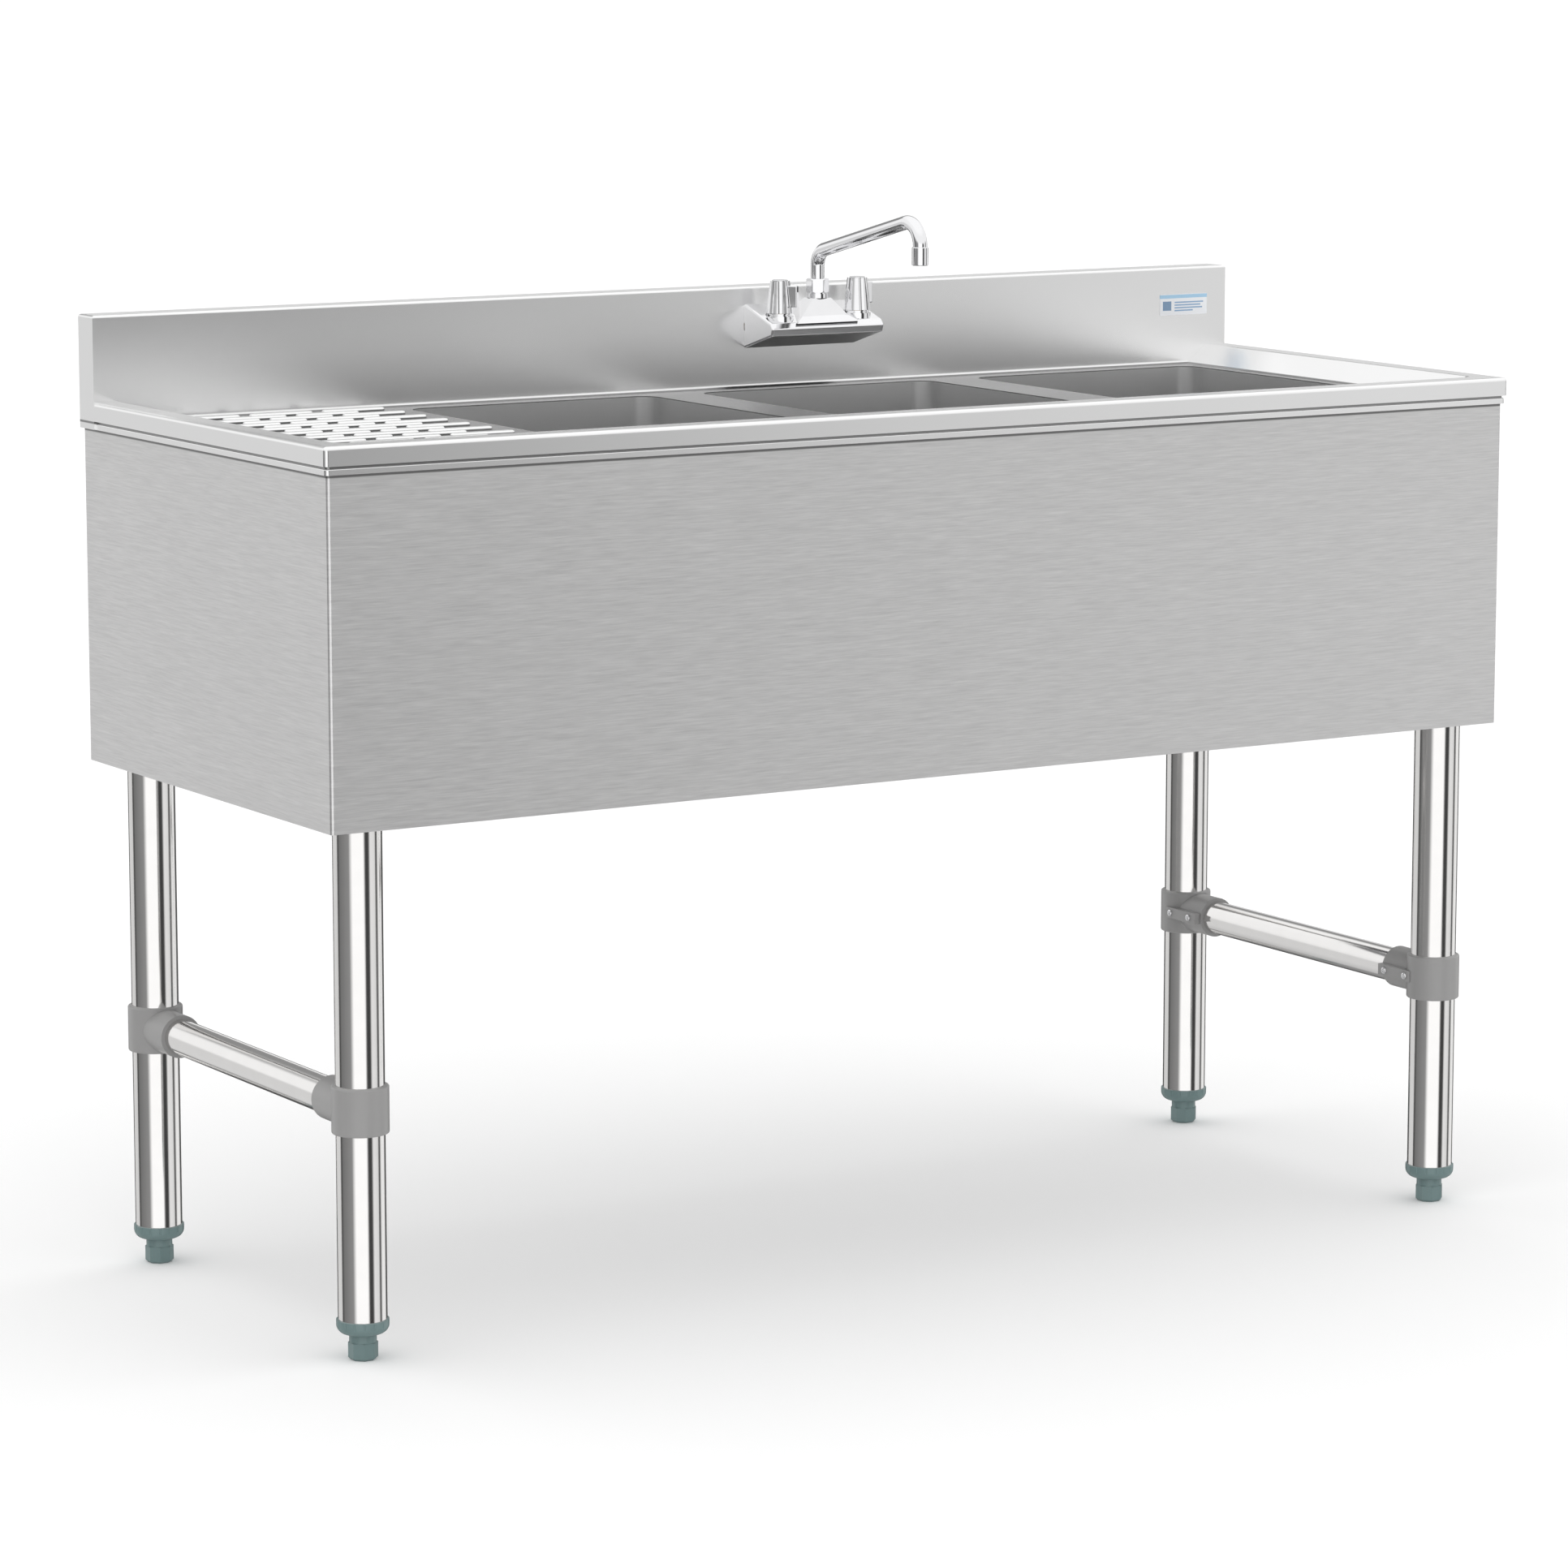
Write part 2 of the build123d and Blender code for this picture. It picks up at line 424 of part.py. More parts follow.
# ---- drains ---------------------------------------------------------------------------------
def make_drains():
    y = BOWL_CENTRE_Y
    seat = BOWL_FLOOR - FLOOR_FALL
    gaskets, locknuts, couplings = [], [], []
    for name, x in BOWL_XS.items():
        bottom = DRAIN_BOTTOM - DRAIN_WALL
        inner_nipple = DRAIN_NIPPLE_R - DRAIN_WALL - 2
        PARTS["drain_cup_" + name] = revolved(x, y, [
            (DRAIN_THROAT_R, seat + DRAIN_WALL), (DRAIN_FLANGE_R, seat + DRAIN_WALL / 2),
            (DRAIN_FLANGE_R, seat),
            (DRAIN_BODY_R, seat), (DRAIN_BODY_R, bottom), (DRAIN_NIPPLE_R, bottom),
            (DRAIN_NIPPLE_R, DRAIN_NIPPLE_BOTTOM), (inner_nipple, DRAIN_NIPPLE_BOTTOM),
            (inner_nipple, DRAIN_BOTTOM), (DRAIN_LEDGE_R, DRAIN_BOTTOM), (DRAIN_LEDGE_R, DRAIN_LEDGE),
            (DRAIN_THROAT_R, DRAIN_LEDGE)])
        washer_top = seat - SHEET
        washer_bottom = washer_top - GASKET_THICK
        gaskets.append(pipe(x, y, washer_bottom, washer_top, GASKET_R, DRAIN_BODY_R))
        locknut = pipe(x, y, washer_bottom - LOCKNUT_THICK, washer_bottom, LOCKNUT_RING_R, DRAIN_BODY_R)
        for turn in range(LOCKNUT_LUGS):
            lug = block(LOCKNUT_RING_R - LUG_OVERLAP, LOCKNUT_R, -LUG_WIDTH / 2, LUG_WIDTH / 2,
                        washer_bottom - LOCKNUT_THICK, washer_bottom)
            locknut += Pos(x, y, 0) * Rot(0, 0, 360 * turn / LOCKNUT_LUGS) * lug
        locknuts.append(locknut)
        tail = pipe(x, y, TAIL_BOTTOM, DRAIN_NIPPLE_BOTTOM, TAIL_R, TAIL_R - TAIL_WALL)
        tail += pipe(x, y, DRAIN_NIPPLE_BOTTOM - DRAIN_WALL, DRAIN_NIPPLE_BOTTOM, DRAIN_NIPPLE_R,
                     TAIL_R - TAIL_WALL)
        tail += pipe(x, y, COUPLING_BOTTOM, DRAIN_NIPPLE_BOTTOM, TAIL_SHOULDER_R, TAIL_R - TAIL_WALL)
        PARTS["tailpiece_" + name] = tail
        coupling = polygon_bar(x, y, COUPLING_BOTTOM, COUPLING_TOP, COUPLING_FLATS, 8)
        coupling -= rod(x, y, DRAIN_NIPPLE_BOTTOM - DRAIN_WALL, COUPLING_TOP + CUT, DRAIN_NIPPLE_R)
        coupling -= rod(x, y, COUPLING_BOTTOM - CUT, COUPLING_TOP, TAIL_SHOULDER_R)
        couplings.append(coupling)
        PARTS["strainer_" + name] = make_strainer(x, y)
    PARTS["drain_gaskets"] = Compound(children=gaskets)
    PARTS["drain_locknuts"] = Compound(children=locknuts)
    PARTS["coupling_nuts"] = Compound(children=couplings)


def make_strainer(x, y):
    plate = rod(x, y, DRAIN_LEDGE, DRAIN_LEDGE + STRAINER_THICK, STRAINER_R)
    slot = extrude(SlotOverall(SLOT_LENGTH, SLOT_WIDTH), STRAINER_THICK + 2 * CUT)
    for turn in range(STRAINER_SLOTS):
        place = Pos(x, y, DRAIN_LEDGE - CUT) * Rot(0, 0, 360 * turn / STRAINER_SLOTS) * Pos(SLOT_RADIUS, 0, 0)
        plate -= place * slot
    knob = fillet(rod(x, y, KNOB_BOTTOM, KNOB_TOP, KNOB_R).edges(), KNOB_EDGE_R)
    return plate + rod(x, y, DRAIN_LEDGE + STRAINER_THICK, KNOB_BOTTOM, KNOB_POST_R) + knob


# ---- faucet ---------------------------------------------------------------------------------
def make_faucet_body():
    outline = [(SPLASH_FACE - reach, z) for z, reach in FAUCET_SECTION]
    section = make_face(Polyline([(0, y, z) for y, z in outline], close=True))
    body = Pos(FAUCET_X - FAUCET_WIDTH / 2, 0, 0) * extrude(section, FAUCET_WIDTH, dir=(1, 0, 0))
    body = fillet(edges_near(body, lambda c: c.Y < SPLASH_FACE - 1), FAUCET_EDGE_R)
    body += frustum(FAUCET_X, PYRAMID_Y, PYRAMID_Y, PYRAMID_FOOT[2], PYRAMID_BASE[2], PYRAMID_FOOT[:2],
                    PYRAMID_BASE[:2])
    body += frustum(FAUCET_X, PYRAMID_Y, SPOUT_Y, PYRAMID_BASE[2], PYRAMID_TOP[2], PYRAMID_BASE[:2],
                    PYRAMID_TOP[:2])
    body += rod(FAUCET_X, SPOUT_Y, NECK_BASE, NECK_FLANGE_TOP, NECK_FLANGE_R)
    body += rod(FAUCET_X, SPOUT_Y, NECK_BASE, NECK_TOP, NECK_R)
    body -= rod(FAUCET_X, SPOUT_Y, NECK_BASE - 8, NECK_TOP + CUT, SPOUT_COLLAR_R + RUNNING)
    for side in SIDES.values():
        x = FAUCET_X + side * HANDLE_SPREAD
        body += rod(x, HANDLE_Y, BONNET_BOTTOM, BOSS_TOP, BOSS_R)
        body -= rod(x, HANDLE_Y, BOSS_TOP, HANDLE_TOP, BOSS_RELIEF_R)
        body -= rod(x, HANDLE_Y, BONNET_BOTTOM, BONNET_TOP + CUT, BONNET_R)
        body -= rod(x, HANDLE_Y, STEM_BOTTOM - 1, BONNET_BOTTOM + CUT, STEM_R + 0.5)
        shank_x = FAUCET_X + side * SHANK_SPREAD
        body += rod_y(shank_x, SHANK_Z, SPLASH_FACE, SHANK_END, SHANK_R)
        body += rod_y(shank_x, SHANK_Z, SPLASH_FACE, SPLASH_FACE + SHEET + SHANK_NUT_THICK, SHANK_THREAD_R)
        body -= rod_y(shank_x, SHANK_Z, SPLASH_FACE - 10, SHANK_END + CUT, SHANK_BORE_R)
    PARTS["faucet_body"] = body


def make_spout():
    tip_y = SPOUT_Y - SPOUT_REACH
    line = [(SPOUT_Y, SPOUT_FOOT), (SPOUT_Y, SPOUT_BEND_Z), (tip_y, SPOUT_BEND_Z + SPOUT_RISE),
            (tip_y, SPOUT_TIP)]
    path = FilletPolyline([(FAUCET_X, y, z) for y, z in line], radius=[SPOUT_BEND_R, SPOUT_TIP_BEND_R])
    start = Plane(origin=(FAUCET_X, SPOUT_Y, SPOUT_FOOT), z_dir=(0, 0, 1))
    spout = sweep(start * Circle(SPOUT_R), path=path)
    spout += rod(FAUCET_X, SPOUT_Y, SPOUT_FOOT, SPOUT_COLLAR_TOP, SPOUT_COLLAR_R)
    PARTS["spout"] = spout - sweep(start * Circle(SPOUT_R - SPOUT_WALL), path=path)

    nut = polygon_bar(FAUCET_X, SPOUT_Y, NUT_BOTTOM, NUT_TOP, NUT_FLATS, 6)
    nut &= fillet(rod(FAUCET_X, SPOUT_Y, NUT_BOTTOM, NUT_TOP, NUT_CORNER_R).edges(), NUT_EDGE_R)
    nut -= rod(FAUCET_X, SPOUT_Y, NUT_BOTTOM - CUT, NUT_TOP - NUT_WEB, NECK_R)
    PARTS["spout_nut"] = nut - rod(FAUCET_X, SPOUT_Y, NUT_BOTTOM, NUT_TOP + CUT, SPOUT_R + RUNNING)

    aerator = rod(FAUCET_X, tip_y, AERATOR_BOTTOM, AERATOR_TOP, AERATOR_R)
    aerator = fillet(aerator.edges(), AERATOR_EDGE_R)
    aerator -= rod(FAUCET_X, tip_y, SPOUT_TIP, AERATOR_TOP + CUT, SPOUT_R)
    bore = rod(FAUCET_X, tip_y, AERATOR_BOTTOM - CUT, SPOUT_TIP + CUT, SPOUT_R - SPOUT_WALL)
    PARTS["aerator"] = aerator - bore


def make_handles():
    bonnets = []
    for name, side in SIDES.items():
        x = FAUCET_X + side * HANDLE_SPREAD
        bonnet = rod(x, HANDLE_Y, BONNET_BOTTOM, BONNET_TOP, BONNET_R)
        for ring in (BOSS_TOP, BONNET_TOP - BONNET_RING):
            bonnet += rod(x, HANDLE_Y, ring, ring + BONNET_RING, BONNET_RING_R)
        bonnets.append(bonnet - rod(x, HANDLE_Y, BONNET_BOTTOM - CUT, BONNET_TOP + CUT, STEM_R + RUNNING))

        grip = loft([Pos(x, HANDLE_Y, HANDLE_BOTTOM) * Circle(HANDLE_BOTTOM_R),
                     Pos(x, HANDLE_Y, HANDLE_TOP) * Circle(HANDLE_TOP_R)])
        lean = math.degrees(math.atan2(HANDLE_BOTTOM_R - HANDLE_TOP_R, HANDLE_TOP - HANDLE_BOTTOM))
        middle = (HANDLE_BOTTOM_R + HANDLE_TOP_R) / 2
        flute = Rot(0, -lean, 0) * Cylinder(FLUTE_R, HANDLE_TOP - HANDLE_BOTTOM + FLUTE_OVERRUN)
        flute = Pos(middle + FLUTE_R - FLUTE_DEPTH, 0, FLUTE_LIFT) * flute
        for turn in range(HANDLE_FLUTES):
            angle = WING_ANGLE[name] + 360 * (turn + 0.5) / HANDLE_FLUTES
            grip -= Pos(x, HANDLE_Y, (HANDLE_BOTTOM + HANDLE_TOP) / 2) * Rot(0, 0, angle) * flute
        wing = block(WING_ROOT, WING_LENGTH, -WING_THICK / 2, WING_THICK / 2, WING_BOTTOM, WING_TOP)
        wing = fillet(wing.edges(), WING_EDGE_R)
        grip += Pos(x, HANDLE_Y, 0) * Rot(0, 0, WING_ANGLE[name]) * wing
        grip -= rod(x, HANDLE_Y, HANDLE_TOP - CAP_DEPTH, HANDLE_TOP + CUT, CAP_R)
        grip -= rod(x, HANDLE_Y, HANDLE_BOTTOM - CUT, STEM_TOP, STEM_R)
        PARTS["handle_" + name] = grip
        PARTS["valve_stem_" + name] = rod(x, HANDLE_Y, STEM_BOTTOM, STEM_TOP, STEM_R)
        cap = rod(x, HANDLE_Y, HANDLE_TOP - CAP_DEPTH, CAP_TOP, CAP_R)
        PARTS["index_cap_" + name] = fillet(edges_near(cap, lambda c: c.Z > CAP_TOP - 0.1), CAP_EDGE_R)
    PARTS["valve_bonnets"] = Compound(children=bonnets)


def make_shank_nuts():
    nuts = []
    for side in SIDES.values():
        hexagon = RegularPolygon(SHANK_NUT_FLATS / 2 / math.cos(math.pi / 6), 6)
        nut = extrude(hexagon, SHANK_NUT_THICK) - extrude(Circle(SHANK_THREAD_R), SHANK_NUT_THICK)
        nuts.append(Pos(FAUCET_X + side * SHANK_SPREAD, SPLASH_FACE + SHEET, SHANK_Z) * Rot(-90, 0, 0) * nut)
    PARTS["shank_nuts"] = Compound(children=nuts)


def make_label():
    PARTS["rating_label"] = block(LABEL_X - LABEL_WIDTH / 2, LABEL_X + LABEL_WIDTH / 2,
                                  SPLASH_FACE - LABEL_THICK, SPLASH_FACE,
                                  LABEL_Z - LABEL_HEIGHT / 2, LABEL_Z + LABEL_HEIGHT / 2)


make_top()
make_bowls()
make_skirt()
make_channels()
make_sockets()
make_legs()
make_tees()
make_drains()
make_faucet_body()
make_spout()
make_handles()
make_shank_nuts()
make_label()

os.makedirs("parts", exist_ok=True)
for node, shape in PARTS.items():
    export_step(shape, f"parts/{node}.step")
print(len(PARTS), "nodes written")
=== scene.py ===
import json
import math

import bpy
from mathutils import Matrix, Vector

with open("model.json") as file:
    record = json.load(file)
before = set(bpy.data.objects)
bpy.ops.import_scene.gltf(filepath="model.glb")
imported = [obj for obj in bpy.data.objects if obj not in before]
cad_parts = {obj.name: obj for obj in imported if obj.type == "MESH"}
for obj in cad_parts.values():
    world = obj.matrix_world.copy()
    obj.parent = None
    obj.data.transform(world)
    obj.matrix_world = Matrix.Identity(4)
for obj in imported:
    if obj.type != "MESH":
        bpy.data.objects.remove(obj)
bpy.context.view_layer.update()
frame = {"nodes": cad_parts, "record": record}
nodes = frame["nodes"]
scene = bpy.context.scene


# ---- camera, floor and light ----------------------------------------------------------------
CAMERA_PLACE = (-2.7336, -4.4597, 1.2588)
CAMERA_YAW = math.radians(31.26)      # from +Y towards +X
CAMERA_PITCH = math.radians(-9.14)
CAMERA_LENS = 133.2                   # mm, on a sensor 36 mm wide
CAMERA_SENSOR = 36.0
CAMERA_FAR = 200.0

FLOOR_HALF = 60.0
FLOOR_COLOR = (0.98, 0.98, 0.98, 1)
FLOOR_ROUGHNESS = 0.9

# The studio as a ring seen from the sink: (bearing from +Y towards +X in degrees, brightness).
STUDIO_RING = (
    (-180, 1.25), (-128, 1.25), (-112, 0.30), (-106, 0.30), (-60, 0.20), (-55, 0.08), (-48, 0.08),
    (-44, 0.78), (-8, 0.78), (0, 0.10), (32, 0.08), (66, 0.12), (74, 1.0), (100, 1.0), (109, 0.10),
    (116, 0.10), (121, 0.85), (147, 0.95), (155, 0.06), (172, 0.06), (180, 1.25),
)
STUDIO_BAND = 0.30                    # a dark stretch behind the sink, above the ring
STUDIO_ABOVE = 1.08                   # brightness above the ring
STUDIO_TOP = 1.2                      # brightness overhead
STUDIO_BOTTOM = 0.5
BACKGROUND = 1.0                      # what the camera itself sees

# Where one level passes into the next. Heights are the Z of the direction looked in; each pair
# runs from where the change starts to where it ends.
ABOVE_STARTS = (0.06, 0.22)
ABOVE_STARTS_BEHIND = (-0.04, 0.10)
TOP_STARTS = (0.45, 0.8)
BOTTOM_STARTS = (-0.4, -0.8)
BAND_BOTTOM, BAND_TOP = (0.12, 0.24), (0.54, 0.44)
BEHIND_LEFT, BEHIND_RIGHT = (-60, -30), (110, 80)      # bearings in degrees
BAND_LEFT, BAND_RIGHT = (-16, -4), (60, 40)


def make_camera():
    data = bpy.data.cameras.new("camera")
    data.lens = CAMERA_LENS
    data.sensor_width = CAMERA_SENSOR
    data.clip_end = CAMERA_FAR
    camera = bpy.data.objects.new("camera", data)
    scene.collection.objects.link(camera)
    camera.location = CAMERA_PLACE
    look = Vector((math.sin(CAMERA_YAW) * math.cos(CAMERA_PITCH),
                   math.cos(CAMERA_YAW) * math.cos(CAMERA_PITCH), math.sin(CAMERA_PITCH)))
    camera.rotation_mode = "QUATERNION"
    camera.rotation_quaternion = look.to_track_quat("-Z", "Y")
    scene.camera = camera


def make_floor():
    half = FLOOR_HALF
    mesh = bpy.data.meshes.new("floor")
    corners = [(-half, -half, 0), (half, -half, 0), (half, half, 0), (-half, half, 0)]
    mesh.from_pydata(corners, [], [(0, 1, 2, 3)])
    floor = bpy.data.objects.new("floor", mesh)
    scene.collection.objects.link(floor)
    material = bpy.data.materials.new("floor")
    material.use_nodes = True
    shader = material.node_tree.nodes["Principled BSDF"]
    shader.inputs["Base Color"].default_value = FLOOR_COLOR
    shader.inputs["Roughness"].default_value = FLOOR_ROUGHNESS
    shader.inputs["Specular IOR Level"].default_value = 0.0
    mesh.materials.append(material)
    floor.visible_glossy = False


def make_studio():
    world = bpy.data.worlds.new("studio")
    world.use_nodes = True
    scene.world = world
    tree = world.node_tree
    tree.nodes.clear()
    graph = Graph(tree)
    direction = graph.add("ShaderNodeTexCoord").outputs["Generated"]
    split = graph.add("ShaderNodeSeparateXYZ", Vector=direction)
    bearing = graph.math("ARCTAN2", split.outputs["X"], split.outputs["Y"])
    turn = graph.math("MULTIPLY_ADD", bearing, 1 / (2 * math.pi), 0.5)
    ring = graph.ramp(turn, [((angle + 180) / 360, level) for angle, level in STUDIO_RING])
    height = split.outputs["Z"]
    rear = graph.between(bearing, map(math.radians, BEHIND_LEFT), map(math.radians, BEHIND_RIGHT))
    above = graph.math("MAXIMUM", graph.smooth_step(height, *ABOVE_STARTS),
                       graph.math("MULTIPLY", rear, graph.smooth_step(height, *ABOVE_STARTS_BEHIND)))
    overhead = graph.smooth_step(height, *TOP_STARTS)
    below = graph.smooth_step(height, *BOTTOM_STARTS)
    level = graph.mix(above, ring, STUDIO_ABOVE)
    band = graph.between(height, BAND_BOTTOM, BAND_TOP)
    behind = graph.between(bearing, map(math.radians, BAND_LEFT), map(math.radians, BAND_RIGHT))
    level = graph.mix(overhead, level, STUDIO_TOP)
    level = graph.mix(graph.math("MULTIPLY", band, behind), level, STUDIO_BAND)
    level = graph.mix(below, level, STUDIO_BOTTOM)
    seen = graph.add("ShaderNodeLightPath").outputs["Is Camera Ray"]
    level = graph.mix(seen, level, BACKGROUND)
    background = graph.add("ShaderNodeBackground", Color=level)
    graph.add("ShaderNodeOutputWorld", Surface=background.outputs["Background"])


# ---- node graph helpers ---------------------------------------------------------------------
class Graph:
    """Short ways to add shader nodes to a tree."""

    def __init__(self, tree):
        self.tree = tree

    def set(self, socket, value):
        if isinstance(value, bpy.types.NodeSocket):
            self.tree.links.new(value, socket)
        elif isinstance(value, (int, float)) and socket.type == "RGBA":
            socket.default_value = (value, value, value, 1)
        elif isinstance(value, (int, float)) and socket.type == "VECTOR":
            socket.default_value = (value, value, value)
        else:
            socket.default_value = value

    def add(self, kind, settings=None, **inputs):
        node = self.tree.nodes.new(kind)
        for key, value in (settings or {}).items():
            setattr(node, key, value)
        for key, value in inputs.items():
            self.set(node.inputs[key.replace("_", " ")], value)
        return node

    def math(self, operation, *values):
        node = self.add("ShaderNodeMath", {"operation": operation})
        for socket, value in zip(node.inputs, values):
            self.set(socket, value)
        return node.outputs[0]

    def ramp(self, factor, stops):
        node = self.add("ShaderNodeValToRGB", Fac=factor)
        elements = node.color_ramp.elements
        while len(elements) < len(stops):
            elements.new(1.0)
        for element, (position, level) in zip(elements, stops):
            element.position = position
            element.color = (level, level, level, 1) if isinstance(level, (int, float)) else level
        return node.outputs["Color"]

    def smooth_step(self, value, low, high):
        node = self.add("ShaderNodeMapRange", {"interpolation_type": "SMOOTHSTEP"},
                        Value=value, From_Min=low, From_Max=high)
        return node.outputs["Result"]

    def between(self, value, rise, fall):
        """One inside a stretch and 0 outside it; rise and fall are where its two soft edges run."""
        return self.math("MULTIPLY", self.smooth_step(value, *rise), self.smooth_step(value, *fall))

    def map_range(self, value, low, high):
        """A 0 to 1 texture spread between low and high."""
        node = self.add("ShaderNodeMapRange", Value=value, To_Min=low, To_Max=high)
        return node.outputs["Result"]

    def mix(self, factor, a, b):
        node = self.add("ShaderNodeMix", {"data_type": "RGBA"})
        self.set(node.inputs[0], factor)
        self.set(node.inputs[6], a)
        self.set(node.inputs[7], b)
        return node.outputs[2]

    def place(self):
        """The point's X, Y and Z in the sink's frame, as outputs."""
        point = self.add("ShaderNodeTexCoord").outputs["Object"]
        return self.add("ShaderNodeSeparateXYZ", Vector=point).outputs

    def coordinates(self, scale=(1, 1, 1)):
        place = self.add("ShaderNodeTexCoord").outputs["Object"]
        return self.add("ShaderNodeMapping", Vector=place, Scale=scale).outputs["Vector"]

    def noise(self, scale, detail=3.0, stretch=(1, 1, 1), roughness=0.5):
        return self.add("ShaderNodeTexNoise", Vector=self.coordinates(stretch), Scale=scale, Detail=detail,
                        Roughness=roughness).outputs["Fac"]

    def bump(self, height, strength, distance):
        node = self.add("ShaderNodeBump", Height=height, Strength=strength, Distance=distance)
        return node.outputs["Normal"]


BUMP_DEPTH = {"hairline": 0.0004, "wave": 0.002, "grain": 0.0003}      # metres
SKIRT_GRAIN = (22, 22, 500)           # noise scale along X, Y and Z, so lines run level
TOP_PAINTED_SHADE = (0.7598, 0.7626)           # painted shadow line in the groove between the rim band and the lip
SKIRT_PAINTED_SHADE = (0.7520, 0.7560)         # painted shadow line on the skirt under the lip


def new_material(name, color, metallic, roughness):
    """A material whose shader starts from one colour and finish; returns it with its graph and shader."""
    material = bpy.data.materials.new(name)
    material.use_nodes = True
    graph = Graph(material.node_tree)
    shader = material.node_tree.nodes["Principled BSDF"]
    shader.inputs["Base Color"].default_value = (*color, 1)
    shader.inputs["Metallic"].default_value = metallic
    shader.inputs["Roughness"].default_value = roughness
    return material, graph, shader


def tint(color, factor):
    return tuple(min(1.0, c * factor) for c in color) + (1,)


def brushed_steel(name, color, roughness, grain=SKIRT_GRAIN, contrast=0.13, bump=0.05, painted_shade_bands=()):
    """Sheet steel with hairline grain drawn out along the sheet and faint cloudy unevenness.

    Each painted shade band darkens the colour where shade falls in a groove or under a lip: (bottom, top)
    in height."""
    material, graph, shader = new_material(name, color, 1.0, roughness)
    lines = graph.noise(1.0, 4.0, grain, 0.65)
    dashes = graph.noise(1.0, 2.0, tuple(g * 2.3 for g in grain), 0.5)
    cloud = graph.noise(2.2, 3.0)
    both = graph.math("ADD", graph.math("MULTIPLY", lines, 0.6), graph.math("MULTIPLY", dashes, 0.4))
    spread = graph.ramp(both, [(0.32, 0.0), (0.68, 1.0)])
    shade = graph.mix(spread, tint(color, 1 - contrast), tint(color, 1 + contrast))
    shade = graph.mix(graph.map_range(cloud, 0.0, 0.35), shade, tint(color, 0.93))
    height = graph.place()["Z"]
    # Painted shade: each band darkens the colour where shade falls in a groove or under a lip, standing in
    # for a shadow line.
    for bottom, top in painted_shade_bands:
        soft = (top - bottom) * 0.3
        dark = graph.between(height, (bottom, bottom + soft), (top, top - soft))
        shade = graph.mix(dark, shade, tint(color, 0.3))
    graph.set(shader.inputs["Base Color"], shade)
    uneven = graph.math("ADD", graph.map_range(cloud, -0.03, 0.03),
                        graph.map_range(spread, -contrast * 0.25, contrast * 0.25))
    graph.set(shader.inputs["Roughness"], graph.math("ADD", uneven, roughness))
    graph.set(shader.inputs["Normal"], graph.bump(both, bump, BUMP_DEPTH["hairline"]))
    return material


def bright_metal(name, color, roughness, waviness=0.02):
    """Polished or plated metal: fine polishing haze and a slightly uneven surface."""
    material, graph, shader = new_material(name, color, 1.0, roughness)
    haze = graph.noise(60.0, 4.0)
    smear = graph.noise(7.0, 3.0)
    graph.set(shader.inputs["Base Color"], graph.mix(haze, tint(color, 0.96), tint(color, 1.03)))
    wear = graph.math("ADD", graph.map_range(smear, 0.0, 0.04), graph.map_range(haze, 0.0, 0.02))
    graph.set(shader.inputs["Roughness"], graph.math("ADD", wear, roughness))
    graph.set(shader.inputs["Normal"], graph.bump(graph.noise(9.0, 2.0), waviness, BUMP_DEPTH["wave"]))
    return material


def moulded(name, color, roughness, speckle=0.06, grain=900.0, bump=0.15):
    """Moulded plastic: fine grain, faint flow marks."""
    material, graph, shader = new_material(name, color, 0.0, roughness)
    fine = graph.noise(grain, 3.0)
    flow = graph.noise(35.0, 4.0, (1, 1, 0.35))
    shade = graph.mix(flow, tint(color, 1 - speckle), tint(color, 1 + speckle))
    shade = graph.mix(graph.map_range(fine, 0.0, 0.3), shade, tint(color, 0.9))
    graph.set(shader.inputs["Base Color"], shade)
    graph.set(shader.inputs["Roughness"], graph.map_range(flow, roughness - 0.06, roughness + 0.06))
    graph.set(shader.inputs["Normal"], graph.bump(fine, bump, BUMP_DEPTH["grain"]))
    return material


def printed_label(name, paper, band, ink, low, high):
    """A blank plate's print between two corners (x, z): a pale band, rows of grey bars, a plain block."""
    material, graph, shader = new_material(name, paper, 0.0, 0.3)
    place = graph.place()
    width, height = high[0] - low[0], high[1] - low[1]
    across = graph.math("MULTIPLY_ADD", place["X"], 1 / width, -low[0] / width)
    up = graph.math("MULTIPLY_ADD", place["Z"], 1 / height, -low[1] / height)

    def inside(value, start, end):
        return graph.math("MULTIPLY", graph.math("GREATER_THAN", value, start),
                          graph.math("LESS_THAN", value, end))

    fibre = graph.noise(1500.0, 2.0)
    shade = graph.mix(fibre, tint(paper, 0.98), tint(paper, 1.01))
    shade = graph.mix(inside(up, 0.80, 0.97), shade, (*band, 1))
    block = graph.math("MULTIPLY", inside(across, 0.06, 0.24), inside(up, 0.22, 0.66))
    shade = graph.mix(block, shade, (*ink, 1))
    for row, end in ((0.60, 0.92), (0.47, 0.86), (0.34, 0.90), (0.21, 0.70)):
        bar = graph.math("MULTIPLY", inside(across, 0.31, end), inside(up, row - 0.03, row + 0.035))
        shade = graph.mix(bar, shade, (*tint(ink, 1.3)[:3], 1))
    graph.set(shader.inputs["Base Color"], shade)
    graph.set(shader.inputs["Roughness"], graph.map_range(fibre, 0.26, 0.34))
    return material


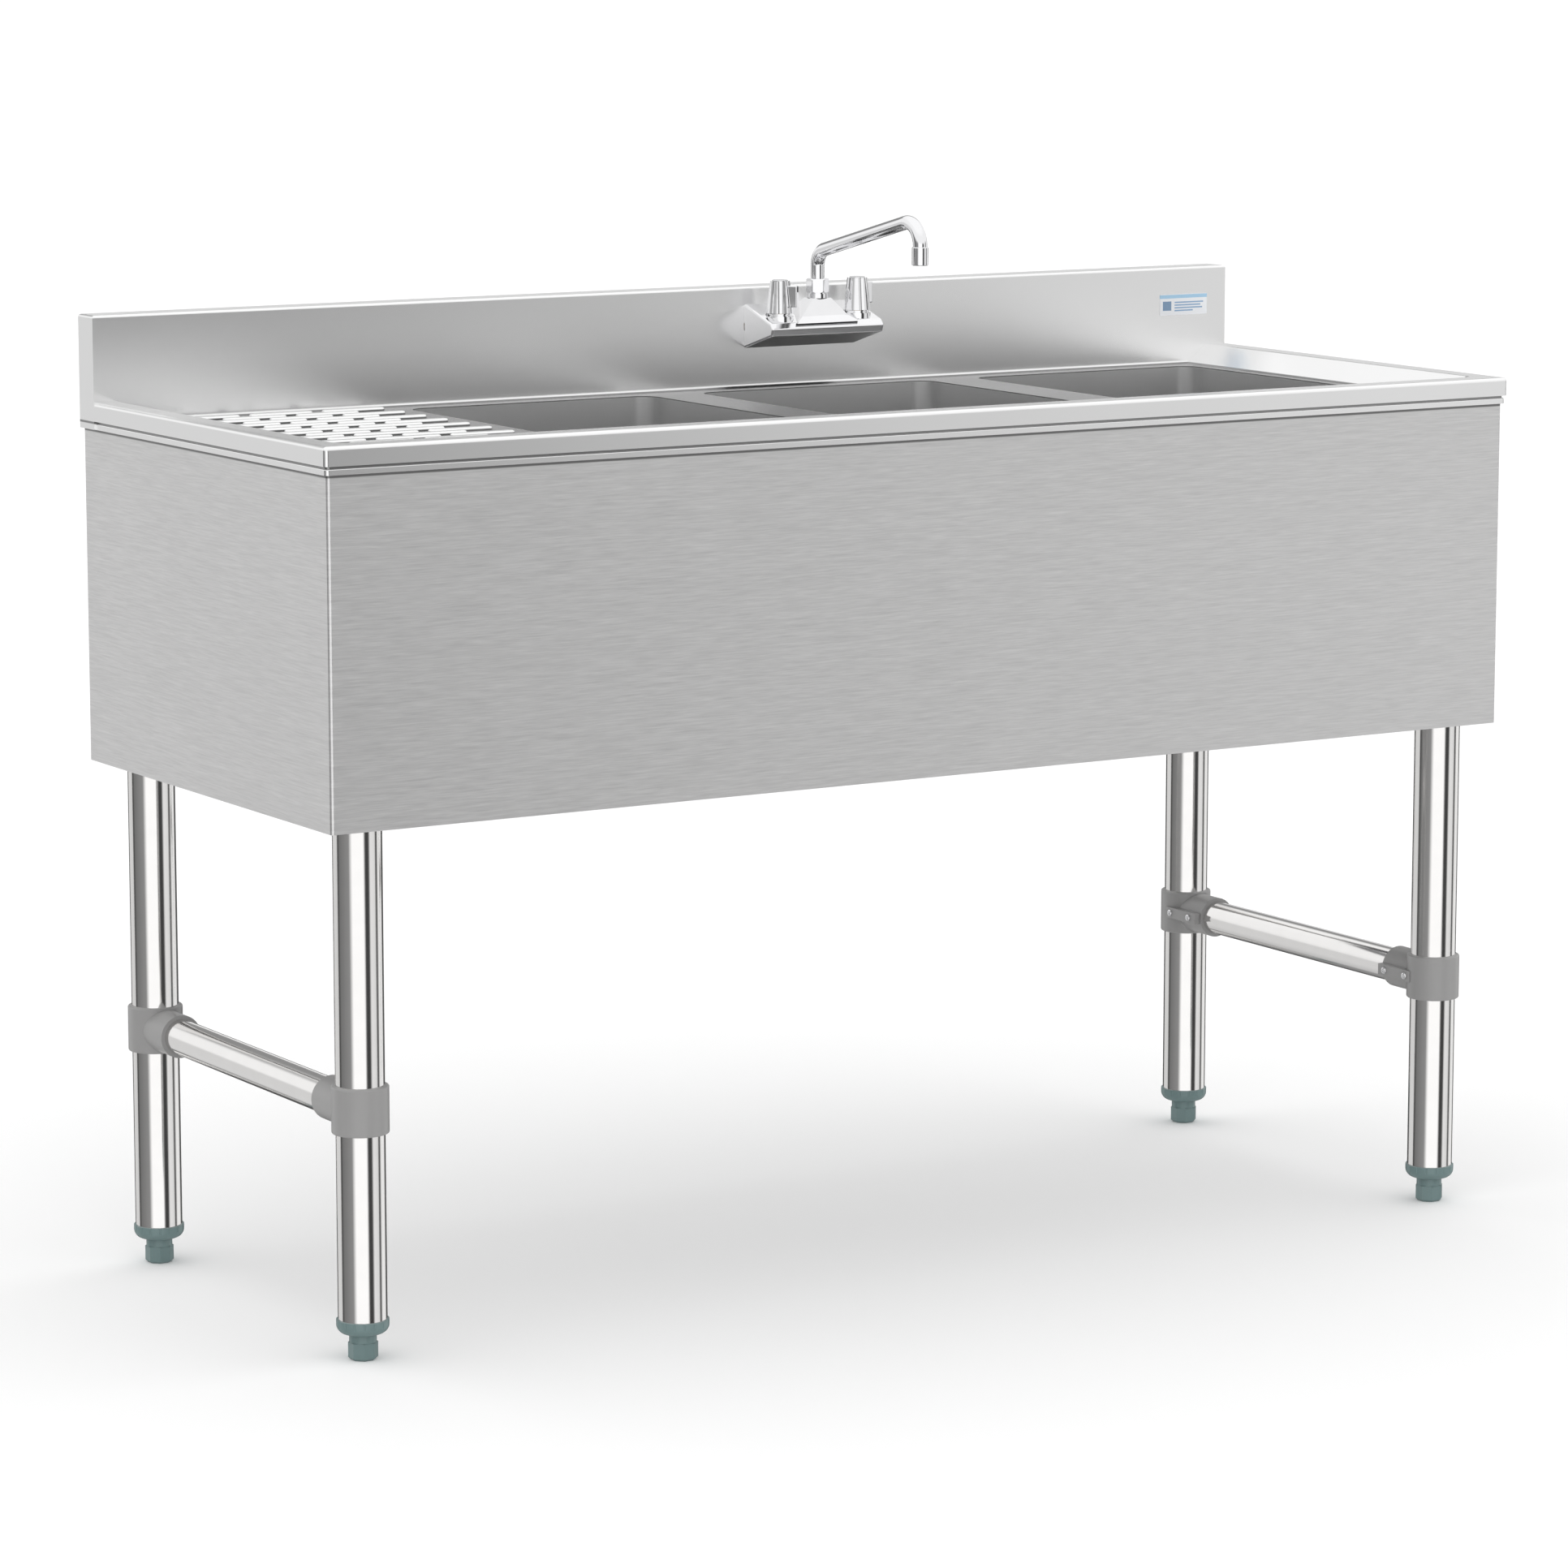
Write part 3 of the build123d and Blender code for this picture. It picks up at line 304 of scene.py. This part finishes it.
def face_corners(node):
    """A plate's lowest and highest corner (x, z) in its own frame."""
    across, _, up = zip(*node.bound_box)
    return (min(across), min(up)), (max(across), max(up))


LABEL_LOW, LABEL_HIGH = face_corners(nodes["rating_label"])
MATERIALS = {
    # top_steel carries a painted shadow line in the groove under the rim band.
    "top_steel": lambda: brushed_steel("top_steel", (0.86, 0.86, 0.86), 0.26, (25, 25, 400), 0.006, 0.003,
                                        [TOP_PAINTED_SHADE]),
    "bowl_steel": lambda: brushed_steel("bowl_steel", (0.74, 0.74, 0.74), 0.30, (400, 400, 25), 0.006, 0.0),
    # skirt_steel carries a painted shadow line under the lip.
    "skirt_steel": lambda: brushed_steel("skirt_steel", (0.76, 0.757, 0.755), 0.40, painted_shade_bands=[SKIRT_PAINTED_SHADE]),
    "frame_steel": lambda: brushed_steel("frame_steel", (0.55, 0.55, 0.56), 0.32, (6, 6, 500), 0.05, 0.03),
    "tube_steel": lambda: bright_metal("tube_steel", (0.80, 0.79, 0.78), 0.09),
    "screw_steel": lambda: bright_metal("screw_steel", (0.78, 0.78, 0.79), 0.15),
    "drain_steel": lambda: bright_metal("drain_steel", (0.74, 0.74, 0.75), 0.18),
    "chrome": lambda: bright_metal("chrome", (0.80, 0.80, 0.81), 0.03, 0.01),
    "cap_steel": lambda: bright_metal("cap_steel", (0.66, 0.66, 0.67), 0.2),
    "brass": lambda: bright_metal("brass", (0.72, 0.53, 0.25), 0.25),
    "rubber": lambda: moulded("rubber", (0.02, 0.02, 0.02), 0.7),
    "foot_plastic": lambda: moulded("foot_plastic", (0.15, 0.222, 0.222), 0.36),
    "tee_plastic": lambda: moulded("tee_plastic", (0.30, 0.297, 0.295), 0.36),
    "label": lambda: printed_label("label", (0.90, 0.92, 0.95), (0.42, 0.66, 0.86), (0.22, 0.34, 0.50),
                                   LABEL_LOW, LABEL_HIGH),
}


def dress_nodes():
    made = {slot: build() for slot, build in MATERIALS.items()}
    for part in frame["record"]["subparts"]:
        mesh = nodes[part["node"]].data
        mesh.materials.clear()
        mesh.materials.append(made[part["material_slot"]])


scene.view_settings.view_transform = "Standard"
make_camera()
make_floor()
make_studio()
dress_nodes()
